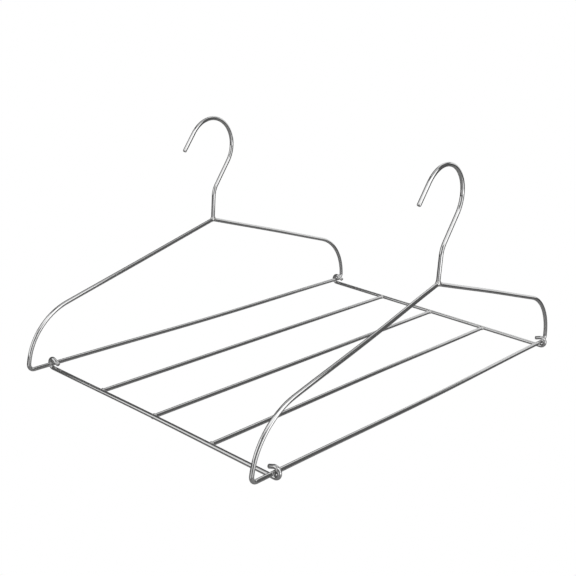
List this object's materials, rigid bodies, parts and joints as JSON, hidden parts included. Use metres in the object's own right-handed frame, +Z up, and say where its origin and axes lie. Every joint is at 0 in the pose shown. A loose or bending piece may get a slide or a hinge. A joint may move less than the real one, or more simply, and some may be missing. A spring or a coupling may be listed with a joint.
{
  "type": "clothes drying rack",
  "caption": "Wire drying rack: two bent-wire hangers with hooks stand on the ends of a flat grid of cross bars and fold down onto it.",
  "frame": {"origin": "middle of the rack's outer box, on the plane of the side rails' undersides", "axes": "+X along the hangers' bottom bars, +Y from the front hanger to the rear one, +Z up towards the hooks"},
  "size_m": [0.4124, 0.2624, 0.1999],
  "materials": {
    "hanger_wire": "bright drawn wire",
    "grid_wire": "bright drawn wire",
    "weld": "bright weld, slightly dull"
  },
  "bodies": {
    "grid": {"left_rail": "grid_wire", "right_rail": "grid_wire", "cross_bar_1": "grid_wire", "cross_bar_2": "grid_wire", "cross_bar_3": "grid_wire", "cross_bar_1_left_weld": "weld", "cross_bar_1_right_weld": "weld", "cross_bar_2_left_weld": "weld", "cross_bar_2_right_weld": "weld", "cross_bar_3_left_weld": "weld", "cross_bar_3_right_weld": "weld"},
    "front_hanger": {"front_hanger_wire": "hanger_wire", "front_neck_weld": "weld"},
    "rear_hanger": {"rear_hanger_wire": "hanger_wire", "rear_neck_weld": "weld"}
  },
  "joints": [
    {"name": "front_hanger_fold", "type": "hinge", "parent": "grid", "child": "front_hanger", "pos_m": [0, -0.1255, 0.00574], "axis": [-1, 0, 0], "range_deg": [-180, 90]},
    {"name": "rear_hanger_fold", "type": "hinge", "parent": "grid", "child": "rear_hanger", "pos_m": [0, 0.1255, 0.00574], "axis": [1, 0, 0], "range_deg": [-180, 87]}
  ]
}
